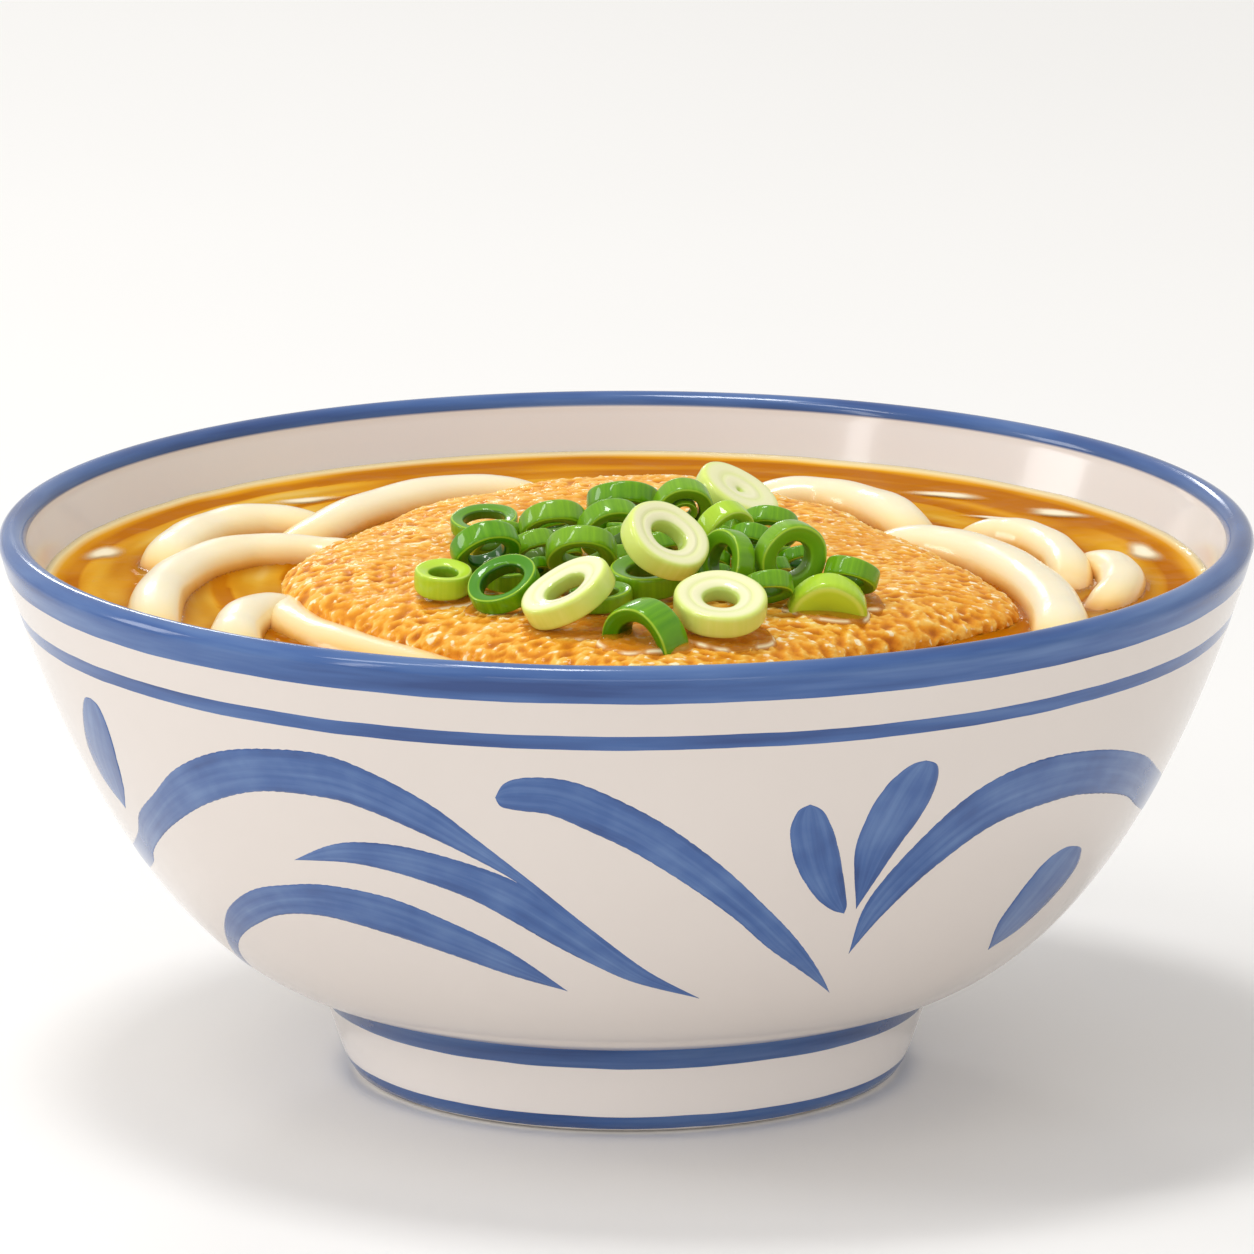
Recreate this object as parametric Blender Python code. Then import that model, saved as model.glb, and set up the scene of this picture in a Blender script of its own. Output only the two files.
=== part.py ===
"""A bowl of udon: thick noodles in amber broth, a sheet of fried tofu and a heap of sliced spring onion.

+Z is up and -Y is the side that faces the diner. The origin is the middle of the foot, on the table.
Sizes are named in millimetres and turned into metres where a mesh is made.
"""

import math

import bmesh
import bpy
from mathutils import Matrix, Vector

MM = 0.001
SHARP_ANGLE = 40  # degrees: shading breaks at sharper edges
MERGE = 1e-4  # points closer than this become one
GAP = 0.3  # clearance between neighbouring pieces
CUT_GAP = 0.45  # the same where the broth is cut round bent tubes, whose flats come closer

# Bowl: a turned piece, so its outlines are (radius, height) points and cubic curves.
BOWL_SEGMENTS = 36
RIM_RADIUS = 99.6
RIM_HEIGHT = 88.5
LIP_THICKNESS = 4.4
LIP_ROUND_HEIGHT = 2.2
LIP_START = RIM_HEIGHT - LIP_ROUND_HEIGHT
LIP_STEPS = 5
OUTER_WALL = ((49.4, 15.2), (76.6, 20.0), (93.4, 63.7), (RIM_RADIUS, LIP_START))
OUTER_WALL_STEPS = 8
INNER_WALL = ((RIM_RADIUS - LIP_THICKNESS, LIP_START), (87.6, 65.0), (76.0, 27.0), (38.0, 21.5))
INNER_WALL_STEPS = 6
FLOOR_HEIGHT = 20.0
FOOT_OUTSIDE = ((45.6, 4.0), (44.4, 1.2), (42.2, 0.0))
FOOT_INSIDE = ((37.2, 0.0), (36.2, 1.0), (35.2, 7.4))
FOOT_RECESS_HEIGHT = 8.6

# Broth, with the bed of sunken noodles that everything else lies on.
BROTH_LEVEL = 79.0
BED_SEGMENTS = 18
BED_FOOT_RADIUS = 34.0
BED_OFF_FLOOR = 2.0
BED_TOP_FROM = 70.0  # rings above this height also rise when the bed is grown into a cutter
BED_WAVES = ((3, 1.2, 0.4), (7, 0.8, 2.0))  # lumps round its side: how many, how deep, where they start
# Each ring of the bed is (height, distance in from the wall), then each of the mound (height, radius).
BED_SIDE = ((30.0, 6.0), (46.0, 5.0), (62.0, 6.0), (69.5, 9.0), (72.5, 18.0))
BED_MOUND = ((74.0, 48.0), (74.9, 20.0))

# Noodles: radius, and each one's middle line as (x, y, z). Both ends dive into the bed.
NOODLE_SIDES = 6
NOODLE_SPACING = 8.0  # between one ring of a tube and the next
ROUTE_STEPS = 6
THICK, PLAIN, THIN = 4.9, 4.3, 3.8
NOODLES = {
    "left_low": (PLAIN, ((-69, -10, 67), (-74, 4, 75), (-72, 16, 78.5), (-67, 28, 79), (-60, 36, 79),
                         (-52, 38, 77), (-44, 38, 69))),
    "left_high": (PLAIN, ((-69, -44, 66), (-74, -32, 76), (-73, -13, 79.5), (-69, 2, 80), (-61, 13, 80),
                          (-52, 19, 78.5), (-45, 22, 69))),
    "back_left": (PLAIN, ((-57, 22, 68), (-54, 31, 77.5), (-47, 41, 79.5), (-39, 51, 79.5), (-29, 60, 79),
                          (-18, 66, 77.5), (-8, 66, 69))),
    "front_left": (PLAIN, ((-55, 3, 68), (-62, -8, 76.5), (-64.5, -21, 78.5), (-65.5, -34, 78.5),
                           (-64, -46, 76), (-57, -55, 67))),
    "tofu_left": (PLAIN, ((-54, -13, 67), (-58, -26, 76), (-53, -40, 78.5), (-43, -52, 78.5), (-31, -62, 78),
                          (-20, -69, 75.5), (-9, -74, 67))),
    "back": (THIN, ((-4, 63, 69), (0, 69, 76), (7, 71, 78), (14, 70, 76.5), (20, 66, 69))),
    "back_right": (PLAIN, ((14, 58, 69), (21, 62, 77.5), (30, 60, 79.3), (38, 54, 79.3), (45, 44, 79),
                           (50, 34, 77), (51, 24, 68))),
    "right_wide": (THICK, ((41, 38, 68), (49, 31, 77.5), (57, 19, 79.5), (63, 4, 79.5), (67, -12, 79.3),
                           (70, -27, 78.5), (69, -42, 76), (62, -52, 67))),
    "right_arc": (THIN, ((49, 48, 68), (56, 42, 77), (62, 36, 79), (68, 28, 79), (72, 16, 78.5),
                         (74, 3, 77.5), (74, -9, 75), (70, -18, 67))),
    "right_edge": (THIN, ((67, 33, 66), (75, 23, 75.5), (79.5, 9, 77.5), (80, -5, 77.5), (76.5, -21, 76),
                          (69, -31, 66))),
}

# Tofu: a puffed sheet. Its outline bulges between four soft corners.
TOFU_MIDDLE = (2.0, -11.0)
TOFU_MID_HEIGHT = 79.6
TOFU_RISE = 6.2
TOFU_DROP = 4.0
TOFU_OUTLINE_STEPS = 2
TOFU_RING_SIZES = (0.9, 0.97, 1.0, 0.985, 0.94, 0.86, 0.7, 0.4)  # from the underside to the top
TOFU_RINGS_BELOW = 2
TOFU_RING_LIFT = 0.45  # share of the drop between one ring below and the next
TOFU_PUFF = (6, 0.45)  # how late the skin falls away towards its edge, and how steeply
TOFU_OUTLINE = (
    (-54, -14), (-49, 5), (-35, 32), (-17, 53), (3, 61), (22, 54), (39, 30), (52, 3),
    (62, -24), (57, -37), (38, -54), (22, -69), (4, -80), (-14, -69), (-30, -55), (-48, -34),
)

# Spring onion: each slice's middle, how far its axis leans from upright and towards where, in degrees,
# then its outer radius, the radius of its hole and its thickness.
WHITE_SLICES = (
    ((6.0, -43.5, 95.5), 40, -45, 7.2, 2.8, 4.4),
    ((-9.0, -56.5, 90.5), 30, -155, 7.6, 3.2, 4.2),
    ((14.5, -60.0, 89.5), 20, -85, 7.4, 2.6, 4.2),
    ((17.5, 5.5, 91.5), 30, -25, 7.2, 0.7, 4.2),
)
PALE_SLICES = (
    ((-28.5, -39.0, 88.5), 10, -80, 4.6, 2.2, 4.0),
    ((15.5, -19.5, 92.0), 65, 125, 4.6, 2.4, 4.0),
)
GREEN_SLICES = (
    ((-22.5, -0.5, 88.5), 10, -110, 5.6, 3.4, 2.6),
    ((-11.5, -13.5, 91.0), 45, 100, 5.5, 2.7, 3.9),
    ((-0.5, 2.0, 91.0), 35, 90, 6.1, 3.1, 3.8),
    ((-2.5, -18.0, 91.5), 60, 105, 5.4, 2.8, 4.0),
    ((9.0, -3.5, 91.5), 70, 100, 5.0, 2.5, 4.0),
    ((22.5, -12.5, 90.5), 45, 85, 4.8, 2.0, 3.4),
    ((19.5, -23.0, 90.5), 45, 80, 4.0, 2.0, 3.2),
    ((-22.0, -32.0, 91.5), 50, 110, 5.6, 2.9, 3.8),
    ((-14.5, -25.5, 90.0), 45, 115, 4.0, 2.0, 3.4),
    ((-7.0, -34.0, 91.5), 45, 90, 5.8, 2.9, 3.8),
    ((3.0, -40.5, 89.0), 10, -90, 5.7, 2.9, 4.0),
    ((15.5, -41.0, 91.5), 75, -140, 5.3, 2.7, 3.8),
    ((25.5, -39.5, 92.0), 85, 115, 5.9, 2.8, 3.9),
    ((34.5, -42.0, 89.0), 35, 65, 4.4, 2.0, 3.4),
    ((-19.0, -46.5, 89.5), 30, -130, 5.9, 3.6, 3.2),
    ((-18.5, -36.5, 88.5), 10, -90, 4.2, 2.2, 3.4),
    ((-4.0, -49.0, 88.0), 5, -125, 5.0, 2.8, 3.0),
    ((22.0, -47.0, 89.0), 35, 100, 4.0, 2.0, 3.2),
)
# Two slices are cut open: these also have the angles, from their lowest point, between which they run.
SPLIT_GREEN_SLICE = ((3.5, -76.0, 89.5), 60, 75, 6.4, 3.2, 4.2)
SPLIT_GREEN_RUN = (80, 330)
PALE_ARCH_SLICE = ((31.0, -51.5, 84.0), 80, 90, 6.8, 3.0, 4.6)
PALE_ARCH_RUN = (110, 250)
SLICE_EDGE = 0.8  # how far a cut edge is rounded
LARGE_SLICE_SEGMENTS = 12
SMALL_SLICE_SEGMENTS = 9

GLAZE = ("bowl_glaze", (0.80, 0.75, 0.70), 0.18)
BROTH = ("dashi_broth", (0.60, 0.24, 0.03), 0.08)
NOODLE = ("udon_noodle", (0.97, 0.86, 0.66), 0.30)
TOFU = ("fried_tofu", (0.83, 0.42, 0.11), 0.45)
ONION_WHITE = ("onion_white", (0.90, 0.88, 0.58), 0.25)
ONION_PALE = ("onion_pale", (0.45, 0.62, 0.06), 0.25)
ONION_GREEN = ("onion_green", (0.10, 0.27, 0.01), 0.25)


def clear_scene():
    for obj in list(bpy.data.objects):
        bpy.data.objects.remove(obj)


def painted(name, rgb, roughness):
    """A plain Principled material, made once."""
    if name in bpy.data.materials:
        return bpy.data.materials[name]
    material = bpy.data.materials.new(name)
    material.use_nodes = True
    material.diffuse_color = (*rgb, 1)
    shader = material.node_tree.nodes["Principled BSDF"]
    shader.inputs["Base Color"].default_value = (*rgb, 1)
    shader.inputs["Roughness"].default_value = roughness
    return material


def add_object(name, shape, material):
    """Turns a bmesh in millimetres into a smooth-shaded object in metres."""
    bmesh.ops.scale(shape, vec=(MM, MM, MM), verts=shape.verts)
    bmesh.ops.recalc_face_normals(shape, faces=shape.faces)
    mesh = bpy.data.meshes.new(name)
    shape.to_mesh(mesh)
    shape.free()
    mesh.shade_smooth()
    mesh.set_sharp_from_angle(angle=math.radians(SHARP_ANGLE))
    mesh.materials.append(painted(*material))
    obj = bpy.data.objects.new(name, mesh)
    bpy.context.scene.collection.objects.link(obj)
    return obj


def hide_cutter(obj):
    obj.hide_render = True
    obj.display_type = "WIRE"
    return obj


def combine(obj, operation, others):
    """Joins or cuts obj with every object in the list."""
    group = bpy.data.collections.new(obj.name + "_" + operation.lower())
    for other in others:
        group.objects.link(other)
    modifier = obj.modifiers.new(operation.title(), "BOOLEAN")
    modifier.operation = operation
    modifier.operand_type = "COLLECTION"
    modifier.collection = group
    modifier.solver = "EXACT"


def loft(shape, loops, closed_ends=True):
    """Skins a row of loops that have the same number of points, and caps both ends."""
    rings = [[shape.verts.new(p) for p in loop] for loop in loops]
    count = len(rings[0])
    for low, high in zip(rings, rings[1:]):
        for k in range(count):
            after = (k + 1) % count
            shape.faces.new((low[k], low[after], high[after], high[k]))
    if closed_ends:
        for ring in (rings[0], rings[-1]):
            bmesh.ops.poke(shape, faces=[shape.faces.new(ring)])
    return rings


def turned(name, outline, segments, material):
    """Turns a closed (radius, height) outline round Z. Points on the axis close it."""
    shape = bmesh.new()
    loops = []
    for k in range(segments):
        turn = Matrix.Rotation(2 * math.pi * k / segments, 3, "Z")
        loops.append([turn @ Vector((r, 0, z)) for r, z in outline])
    rings = [[shape.verts.new(p) for p in loop] for loop in loops]
    for k in range(segments):
        here, there = rings[k], rings[(k + 1) % segments]
        for i in range(len(outline) - 1):
            shape.faces.new((here[i], there[i], there[i + 1], here[i + 1]))
    bmesh.ops.remove_doubles(shape, verts=shape.verts, dist=MERGE)
    bmesh.ops.dissolve_degenerate(shape, edges=shape.edges, dist=MERGE)
    return add_object(name, shape, material)


def bezier(corners, steps):
    """Points along a cubic curve, both ends included."""
    a, b, c, d = (Vector(p) for p in corners)
    points = []
    for k in range(steps + 1):
        t = k / steps
        s = 1 - t
        points.append(a * s ** 3 + b * 3 * s * s * t + c * 3 * s * t * t + d * t ** 3)
    return points


def curve_through(points, steps, closed=False):
    """A smooth curve that passes through every point, with this many steps from one to the next."""
    points = [Vector(p) for p in points]
    count = len(points)
    path = []
    for i in range(count if closed else count - 1):
        if closed:
            before, start, end, after = (points[(i + k) % count] for k in (-1, 0, 1, 2))
        else:
            before, start, end, after = (points[min(max(i + k, 0), count - 1)] for k in (-1, 0, 1, 2))
        for k in range(steps):
            t = k / steps
            path.append(0.5 * (
                2 * start
                + (end - before) * t
                + (2 * before - 5 * start + 4 * end - after) * t ** 2
                + (3 * start - before - 3 * end + after) * t ** 3
            ))
    if not closed:
        path.append(points[-1])
    return path


def evenly_spaced(path, spacing):
    """Points at about this spacing along a path, its two ends included."""
    travelled = [0.0]
    for start, end in zip(path, path[1:]):
        travelled.append(travelled[-1] + (end - start).length)
    count = round(travelled[-1] / spacing)
    points = []
    for k in range(count + 1):
        target = travelled[-1] * k / count
        i = max(j for j in range(len(path) - 1) if travelled[j] <= target)
        share = (target - travelled[i]) / (travelled[i + 1] - travelled[i])
        points.append(path[i].lerp(path[i + 1], share))
    return points


def inner_wall_radius(height):
    """The bowl's inside radius at a height between its floor and its lip."""
    wall = bezier(INNER_WALL, INNER_WALL_STEPS)
    for upper, lower in zip(wall, wall[1:]):
        if lower.y <= height <= upper.y:
            return lower.x + (upper.x - lower.x) * (height - lower.y) / (upper.y - lower.y)
    return wall[-1].x


def make_bowl():
    """One thrown piece: recessed foot, wall and rounded lip."""
    outline = [Vector((0, FOOT_RECESS_HEIGHT))]
    outline += [Vector(p) for p in reversed(FOOT_INSIDE)]
    outline += [Vector(p) for p in reversed(FOOT_OUTSIDE)]
    outline += bezier(OUTER_WALL, OUTER_WALL_STEPS)
    lip_middle = RIM_RADIUS - LIP_THICKNESS / 2
    for k in range(1, LIP_STEPS):
        angle = math.pi * k / LIP_STEPS
        outline.append(Vector((
            lip_middle + LIP_THICKNESS / 2 * math.cos(angle),
            LIP_START + LIP_ROUND_HEIGHT * math.sin(angle),
        )))
    outline += bezier(INNER_WALL, INNER_WALL_STEPS)
    outline.append(Vector((0, FLOOR_HEIGHT)))
    return turned("bowl", outline, BOWL_SEGMENTS, GLAZE)


def noodle_bed(name, grow):
    """The sunken noodles as one lump with an uneven side, standing on the bowl's floor."""
    loops = []
    rows = [(FLOOR_HEIGHT + BED_OFF_FLOOR - grow, BED_FOOT_RADIUS)]
    rows += [(height, inner_wall_radius(height) - inset) for height, inset in BED_SIDE]
    rows += BED_MOUND
    for height, radius in rows:
        loop = []
        for k in range(BED_SEGMENTS):
            angle = 2 * math.pi * k / BED_SEGMENTS
            lump = sum(depth * math.sin(waves * angle + start) for waves, depth, start in BED_WAVES)
            r = radius + grow + lump * radius / RIM_RADIUS
            lift = grow if height > BED_TOP_FROM else 0
            loop.append((r * math.cos(angle), r * math.sin(angle), height + lift))
        loops.append(loop)
    shape = bmesh.new()
    loft(shape, loops)
    return add_object(name, shape, NOODLE)


def noodle_tube(name, radius, route, grow):
    """One noodle: a round tube along a smooth route, made fatter and longer by grow."""
    path = evenly_spaced(curve_through(route, ROUTE_STEPS), NOODLE_SPACING)
    path[0] += (path[0] - path[1]).normalized() * grow
    path[-1] += (path[-1] - path[-2]).normalized() * grow
    loops = []
    for i, middle in enumerate(path):
        along = (path[min(i + 1, len(path) - 1)] - path[max(i - 1, 0)]).normalized()
        side = along.cross(Vector((0, 0, 1))).normalized()
        over = side.cross(along)
        loops.append([
            middle + (radius + grow) * (side * math.cos(a) + over * math.sin(a))
            for a in (2 * math.pi * (k + 0.5) / NOODLE_SIDES for k in range(NOODLE_SIDES))
        ])
    shape = bmesh.new()
    loft(shape, loops)
    return hide_cutter(add_object(name, shape, NOODLE))


def noodle_tubes(prefix, grow):
    return [noodle_tube(prefix + name, radius, route, grow) for name, (radius, route) in NOODLES.items()]


def make_noodles():
    noodles = noodle_bed("noodles", 0)
    combine(noodles, "UNION", noodle_tubes("tube_", 0))


def tofu_height(size):
    """Height of the top skin where the outline has shrunk to this share of its full size."""
    lateness, steepness = TOFU_PUFF
    return TOFU_MID_HEIGHT + TOFU_RISE * (1 - size ** lateness) ** steepness


def make_tofu(name="fried_tofu", grow=0):
    """A puffed slab: the outline drawn in towards its middle, ring by ring."""
    middle = Vector(TOFU_MIDDLE)
    outline = curve_through(TOFU_OUTLINE, TOFU_OUTLINE_STEPS, closed=True)
    loops = []
    for i, size in enumerate(TOFU_RING_SIZES):
        if i < TOFU_RINGS_BELOW:
            height = TOFU_MID_HEIGHT - (TOFU_DROP + grow) * (1 - i * TOFU_RING_LIFT)
        else:
            height = tofu_height(size) + grow * (i > TOFU_RINGS_BELOW)
        loop = []
        for point in outline:
            away = (point - middle).normalized()
            spot = middle + (point - middle) * size + away * grow
            loop.append((spot.x, spot.y, height))
        loops.append(loop)
    shape = bmesh.new()
    loft(shape, loops)
    return add_object(name, shape, TOFU)


def make_broth():
    """Fills the bowl to its level, cut round the noodles and the tofu."""
    outline = [Vector((0, BROTH_LEVEL)), Vector((inner_wall_radius(BROTH_LEVEL) - GAP, BROTH_LEVEL))]
    below = [point for point in bezier(INNER_WALL, INNER_WALL_STEPS) if point.y < BROTH_LEVEL]
    outline += [point + Vector((-GAP, GAP)) for point in below]
    outline.append(Vector((0, outline[-1].y)))
    broth = turned("broth", outline, BOWL_SEGMENTS, BROTH)
    cutters = noodle_tubes("room_for_", CUT_GAP)
    cutters.append(hide_cutter(noodle_bed("room_for_bed", CUT_GAP)))
    cutters.append(hide_cutter(make_tofu("room_for_tofu", CUT_GAP)))
    combine(broth, "DIFFERENCE", cutters)


def slice_section(outer, hole, thickness, corners):
    """The cut wall of a slice as (radius, height) points with its edges taken off."""
    half = thickness / 2
    edge = min(SLICE_EDGE, (outer - hole) / 3)
    if corners == 8:
        return [
            (outer, half - edge), (outer - edge, half), (hole + edge, half), (hole, half - edge),
            (hole, edge - half), (hole + edge, -half), (outer - edge, -half), (outer, edge - half),
        ]
    return [(outer, 0), (outer - edge, half), (hole + edge, half), (hole, 0), (hole + edge, -half),
            (outer - edge, -half)]


def make_slice(name, place, material, segments, corners, run=(0, 360)):
    """One slice: its section carried round its own axis, then leaned over and set down."""
    middle, lean, towards, outer, hole, thickness = place
    section = slice_section(outer, hole, thickness, corners)
    whole = run == (0, 360)
    lean, towards = math.radians(lean), math.radians(towards)
    axis = Vector((math.sin(lean) * math.cos(towards), math.sin(lean) * math.sin(towards), math.cos(lean)))
    level = Vector((-math.sin(towards), math.cos(towards), 0))
    downhill = level.cross(axis)
    loops = []
    for k in range(segments + 1 - whole):
        angle = math.radians(run[0] + (run[1] - run[0]) * k / segments)
        out = downhill * math.cos(angle) + level * math.sin(angle)
        loops.append([Vector(middle) + out * r + axis * z for r, z in section])
    shape = bmesh.new()
    if whole:
        loops.append(loops[0])
    loft(shape, loops, closed_ends=not whole)
    bmesh.ops.remove_doubles(shape, verts=shape.verts, dist=MERGE)
    return add_object(name, shape, material)


def make_spring_onion():
    for kind, places, material, segments, corners in (
        ("white", WHITE_SLICES, ONION_WHITE, LARGE_SLICE_SEGMENTS, 8),
        ("pale", PALE_SLICES, ONION_PALE, SMALL_SLICE_SEGMENTS, 8),
        ("green", GREEN_SLICES, ONION_GREEN, SMALL_SLICE_SEGMENTS, 6),
    ):
        for number, place in enumerate(places, 1):
            make_slice(f"onion_{kind}_{number:02d}", place, material, segments, corners)
    make_slice("onion_green_split", SPLIT_GREEN_SLICE, ONION_GREEN, SMALL_SLICE_SEGMENTS, 6, SPLIT_GREEN_RUN)
    make_slice("onion_pale_arch", PALE_ARCH_SLICE, ONION_PALE, SMALL_SLICE_SEGMENTS, 8, PALE_ARCH_RUN)


clear_scene()
make_bowl()
make_noodles()
make_tofu()
make_broth()
make_spring_onion()
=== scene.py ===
"""The looks of a bowl of udon: glazed bowl, clear broth, noodles, fried tofu and sliced spring onion.

Sizes are in millimetres, +Z is up and -Y faces the diner. MM turns them into Blender's metres.
"""

import math
import random

import bpy
import numpy as np
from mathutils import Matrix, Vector, noise
from mathutils.bvhtree import BVHTree


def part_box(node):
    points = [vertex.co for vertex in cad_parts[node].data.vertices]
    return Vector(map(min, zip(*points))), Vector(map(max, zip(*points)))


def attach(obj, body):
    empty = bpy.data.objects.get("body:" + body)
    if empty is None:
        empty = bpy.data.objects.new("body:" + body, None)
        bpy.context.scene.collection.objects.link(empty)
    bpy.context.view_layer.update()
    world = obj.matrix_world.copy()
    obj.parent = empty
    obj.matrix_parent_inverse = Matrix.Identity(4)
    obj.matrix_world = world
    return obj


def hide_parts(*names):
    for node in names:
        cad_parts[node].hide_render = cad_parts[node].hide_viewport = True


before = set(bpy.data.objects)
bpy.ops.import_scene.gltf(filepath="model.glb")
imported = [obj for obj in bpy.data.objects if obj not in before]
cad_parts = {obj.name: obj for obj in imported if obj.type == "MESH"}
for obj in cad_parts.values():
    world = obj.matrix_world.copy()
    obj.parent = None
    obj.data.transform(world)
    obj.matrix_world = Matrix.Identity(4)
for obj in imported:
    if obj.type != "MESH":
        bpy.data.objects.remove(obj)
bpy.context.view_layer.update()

# ---------------------------------------------------------------------------------------------------------
# Bowl. A thick thrown bowl of white stoneware on a turned foot, in one piece. It is dipped in a clear glossy
# glaze, and the bands on its lip, under it and on its foot are brushed on in cobalt as it turns on the wheel.
# The foot is painted lighter, as painted light where the bowl shades it, and the inside a cooler white that
# offsets the warm light reflected onto it by the broth.

MM = 0.001
RIM_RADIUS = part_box("bowl")[1].x / MM
LIP_START = 86.3
LIP_ROUND_HEIGHT = 2.2
LIP_THICKNESS = 4.4
OUTER_WALL = ((49.4, 15.2), (76.6, 20.0), (93.4, 63.7), (RIM_RADIUS, LIP_START))
INNER_WALL = ((RIM_RADIUS - LIP_THICKNESS, LIP_START), (87.6, 65.0), (76.0, 27.0), (38.0, 21.5))
FOOT_OUTSIDE = ((45.6, 4.0), (44.9, 2.2), (44.0, 0.8), (42.2, 0.0))
FOOT_INSIDE = ((37.2, 0.0), (36.5, 0.4), (36.0, 2.0), (35.2, 7.4), (34.2, 7.6))
FOOT_RECESS_HEIGHT = 8.5
FLOOR_HEIGHT = 20.0
BOWL_TURNS = 288
OUTER_STEPS = 90
INNER_STEPS = 60
LIP_STEPS = 18


def colour(red, green, blue):
    """Screen red, green and blue from 0 to 255 as the linear colour that a shader takes."""
    shares = (c / 255 for c in (red, green, blue))
    return (*(c / 12.92 if c < 0.04045 else ((c + 0.055) / 1.055) ** 2.4 for c in shares), 1)


def new_material(name, **sockets):
    """A Principled material, with plain values for its own sockets: Coat_Weight sets "Coat Weight"."""
    material = bpy.data.materials.new(name)
    material.use_nodes = True
    for socket, value in sockets.items():
        shader_of(material).inputs[socket.replace("_", " ")].default_value = value
    return material


def shader_of(material):
    return material.node_tree.nodes["Principled BSDF"]


def add_node(material, kind, inputs=None, **settings):
    """Adds a node. Its inputs are plain values, or outputs of other nodes to link."""
    made = material.node_tree.nodes.new("ShaderNode" + kind)
    for setting, value in settings.items():
        setattr(made, setting, value)
    for socket, value in (inputs or {}).items():
        if isinstance(value, bpy.types.NodeSocket):
            material.node_tree.links.new(value, made.inputs[socket])
        else:
            made.inputs[socket].default_value = value
    return made


def paint(material, socket, value):
    material.node_tree.links.new(value, shader_of(material).inputs[socket])


def place_on(material, stretch=(1, 1, 1)):
    """The point on the piece, in millimetres, drawn out by these factors."""
    spot = add_node(material, "TexCoord").outputs["Object"]
    return add_node(material, "Mapping", {"Vector": spot, "Scale": [s / MM for s in stretch]}).outputs[0]


def grain(material, where, size, detail=2.0):
    """Noise from 0 to 1 with features of about this size, in the units of where."""
    values = {"Vector": where, "Scale": 1 / size, "Detail": detail}
    return add_node(material, "TexNoise", values).outputs["Fac"]


def sums(material, operation, a, b=0.0, c=0.0, clamp=False):
    """Arithmetic on numbers or on outputs of nodes."""
    return add_node(material, "Math", {0: a, 1: b, 2: c}, operation=operation, use_clamp=clamp).outputs[0]


def mixed(material, share, a, b):
    """Colour a where share is 0 and colour b where it is 1."""
    return add_node(material, "Mix", {0: share, 6: a, 7: b}, data_type="RGBA").outputs[2]


def ramp(material, value, stops, interpolation="LINEAR"):
    """A colour for each value, from (value, colour) stops."""
    made = add_node(material, "ValToRGB", {"Fac": value})
    made.color_ramp.interpolation = interpolation
    elements = made.color_ramp.elements
    for i, (position, tint) in enumerate(stops):
        element = elements[i] if i < 2 else elements.new(position)
        element.position = position
        element.color = tint
    return made.outputs[0]


def number_ramp(material, value, stops, interpolation="LINEAR"):
    """A number for each value, from (value, number) stops."""
    return ramp(material, value, [(at, (number, number, number, 1)) for at, number in stops], interpolation)


def from_mesh(material, name):
    """A number that was stored on the mesh's points."""
    return add_node(material, "Attribute", attribute_name=name).outputs["Fac"]


def relief(material, height, depth):
    """Bump: depth is how far, in millimetres, a height of 1 stands out."""
    values = {"Height": height, "Distance": depth * MM, "Strength": 1.0}
    paint(material, "Normal", add_node(material, "Bump", values).outputs[0])


def curve_points(corners, steps):
    """Points along a cubic curve, both ends included."""
    a, b, c, d = (np.array(p, float) for p in corners)
    t = np.linspace(0, 1, steps + 1)[:, None]
    return a * (1 - t) ** 3 + b * 3 * t * (1 - t) ** 2 + c * 3 * t * t * (1 - t) + d * t ** 3


def grid_faces(rows, columns):
    """Quads over rows of points, the last point of each row joined to its first."""
    row, column = np.meshgrid(np.arange(rows - 1), np.arange(columns), indexing="ij")
    after = (column + 1) % columns
    corners = (row * columns + column, row * columns + after, (row + 1) * columns + after,
               (row + 1) * columns + column)
    return np.stack(corners, -1).reshape(-1, 4).tolist()


def add_piece(name, points, faces, material, numbers=None):
    """Makes a smooth mesh that is part of the dish, with numbers stored on its points for its material."""
    mesh = bpy.data.meshes.new(name)
    mesh.from_pydata((np.asarray(points, float) * MM).tolist(), [], faces)
    for key, values in (numbers or {}).items():
        mesh.attributes.new(key, "FLOAT", "POINT").data.foreach_set("value", np.asarray(values, np.float32))
    mesh.validate()
    mesh.shade_smooth()
    mesh.materials.append(material)
    piece = bpy.data.objects.new(name, mesh)
    bpy.context.scene.collection.objects.link(piece)
    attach(piece, "root")
    return piece


def fanned_faces(points, rings, turns, first_height, last_height):
    """Faces over rings of points. A point added on the axis closes the first ring, and another the last."""
    faces = grid_faces(rings, turns)
    for height, ring, step in ((first_height, 0, -1), (last_height, rings - 1, 1)):
        points.append((0, 0, height))
        for k in range(turns):
            pair = (ring * turns + k, ring * turns + (k + 1) % turns)[::step]
            faces.append((*pair, len(points) - 1))
    return faces


def turned(outline, turns):
    """Points and faces of a closed (radius, height) outline that starts and ends on the axis."""
    angles = np.arange(turns) * 2 * math.pi / turns
    points = [(r * math.sin(a), -r * math.cos(a), z) for r, z in outline[1:-1] for a in angles]
    faces = fanned_faces(points, len(outline) - 2, turns, outline[0][1], outline[-1][1])
    return points, faces


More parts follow.
